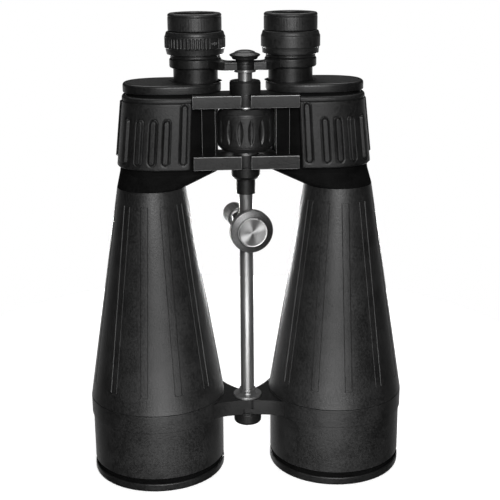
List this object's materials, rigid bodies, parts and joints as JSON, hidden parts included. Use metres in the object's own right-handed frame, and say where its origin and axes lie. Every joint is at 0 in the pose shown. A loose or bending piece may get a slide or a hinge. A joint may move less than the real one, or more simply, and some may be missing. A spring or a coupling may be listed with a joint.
{
  "type": "binoculars",
  "caption": "Large tripod-ready Porro prism binoculars with long tapered barrels, ribbed armour, a centre focus wheel and a clamp-on tripod post.",
  "frame": {"origin": "on the standing plane, midway between the two objective axes", "axes": "+Z from the objectives up to the eyecups, +X to the right-hand half in the picture, -Y towards the focus wheel side"},
  "size_m": [0.2294, 0.0978, 0.3316],
  "materials": {
    "barrel_coat": "matte black textured coating on aluminium",
    "black_metal": "satin black paint on cast and turned aluminium",
    "rubber_armour": "matte moulded",
    "eyecup_rubber": "matte soft",
    "rubber_grip": "satin moulded",
    "coated_glass": "anti-reflection coated",
    "prism_glass": "polished",
    "bright_steel": "polished plating",
    "turned_steel": "turned face, knurled edge",
    "spring_steel": "rolled strip",
    "small_screws": "blackened",
    "nylon": "natural nylon"
  },
  "bodies": {
    "left_half": {"objective_tube_left": "barrel_coat", "front_rim_left": "black_metal", "objective_lens_left": "coated_glass", "lens_retaining_ring_left": "black_metal", "bridge_arm_left": "black_metal", "barrel_cone_left": "barrel_coat", "prism_housing_left": "black_metal", "armour_left": "rubber_armour", "prism_cover_left": "black_metal", "cover_screws_left": "small_screws", "prism_shelf_left": "black_metal", "upper_prism_left": "prism_glass", "lower_prism_left": "prism_glass", "prism_clips_left": "spring_steel", "strap_lug_left": "black_metal", "lower_axle": "bright_steel", "hinge_collar": "black_metal", "upper_bush": "bright_steel", "hinge_cap_ring": "black_metal", "tripod_rod": "bright_steel", "rod_washer": "bright_steel", "rod_end_cap": "black_metal"},
    "right_half": {"objective_tube_right": "barrel_coat", "front_rim_right": "black_metal", "objective_lens_right": "coated_glass", "lens_retaining_ring_right": "black_metal", "bridge_arm_right": "black_metal", "barrel_cone_right": "barrel_coat", "prism_housing_right": "black_metal", "armour_right": "rubber_armour", "prism_cover_right": "black_metal", "cover_screws_right": "small_screws", "prism_shelf_right": "black_metal", "upper_prism_right": "prism_glass", "lower_prism_right": "prism_glass", "prism_clips_right": "spring_steel", "strap_lug_right": "black_metal"},
    "focus_wheel": {"focus_wheel": "rubber_grip"},
    "focus_carriage": {"eyepiece_arm_left": "black_metal", "eyepiece_tube_left": "black_metal", "focus_screw": "bright_steel", "bridge_washer": "black_metal", "dome_cap": "black_metal"},
    "left_ocular": {"ocular_cell_left": "black_metal", "field_lens_left": "prism_glass", "eye_lens_left": "coated_glass", "eyecup_left": "eyecup_rubber"},
    "diopter_ring": {"diopter_ring": "rubber_grip"},
    "right_eyepiece": {"eyepiece_arm_right": "black_metal", "eyepiece_tube_right": "black_metal", "ocular_cell_right": "black_metal", "field_lens_right": "prism_glass", "eye_lens_right": "coated_glass", "eyecup_right": "eyecup_rubber", "grip_ring": "rubber_grip"},
    "clamp_bush": {"clamp_bush": "nylon"},
    "clamp_body": {"clamp_body": "black_metal", "tripod_post": "black_metal"},
    "clamp_pad": {"clamp_pad": "nylon"},
    "lock_knob": {"lock_knob": "turned_steel"}
  },
  "joints": [
    {"name": "interpupillary_hinge", "type": "hinge", "parent": "left_half", "child": "right_half", "pos_m": [0, -0.0114, 0.15], "axis": [0, 0, 1], "range_deg": [-18, 18]},
    {"name": "focus_turn", "type": "hinge", "parent": "left_half", "child": "focus_wheel", "pos_m": [0, -0.0114, 0.255], "axis": [0, 0, 1], "range_deg": [-180.1, 180.1]},
    {"name": "left_focus_slide", "type": "slide", "parent": "left_half", "child": "focus_carriage", "axis": [0, 0, 1], "range_m": [-0.004, 0.004]},
    {"name": "right_focus_slide", "type": "slide", "parent": "right_half", "child": "right_eyepiece", "axis": [0, 0, 1], "range_m": [-0.004, 0.004]},
    {"name": "diopter_slide", "type": "slide", "parent": "focus_carriage", "child": "left_ocular", "axis": [0, 0, 1], "range_m": [-0.0012, 0.0012]},
    {"name": "diopter_turn", "type": "hinge", "parent": "left_ocular", "child": "diopter_ring", "pos_m": [-0.033, 0.0104, 0.312], "axis": [0, 0, 1], "range_deg": [-60.05, 60.05]},
    {"name": "clamp_slide", "type": "slide", "parent": "left_half", "child": "clamp_bush", "axis": [0, 0, 1], "range_m": [-0.09, 0.012]},
    {"name": "clamp_swivel", "type": "hinge", "parent": "clamp_bush", "child": "clamp_body", "pos_m": [0, -0.0114, 0.1863], "axis": [0, 0, 1], "range_deg": [-14, 13]},
    {"name": "pad_slide", "type": "slide", "parent": "clamp_body", "child": "clamp_pad", "axis": [0.1822, -0.9833, 0], "range_m": [0, 0.001]},
    {"name": "lock_knob_turn", "type": "hinge", "parent": "clamp_pad", "child": "lock_knob", "pos_m": [0, -0.0114, 0.1863], "axis": [0.1822, -0.9833, 0], "range_deg": [-0.05, 360.1]}
  ],
  "couplings": [
    {"joint": "focus_turn", "follows": "left_focus_slide", "rad_per_m": 785.4},
    {"joint": "right_focus_slide", "follows": "left_focus_slide", "ratio": 1},
    {"joint": "diopter_turn", "follows": "diopter_slide", "rad_per_m": 872.66},
    {"joint": "lock_knob_turn", "follows": "pad_slide", "rad_per_m": 6283.2}
  ]
}
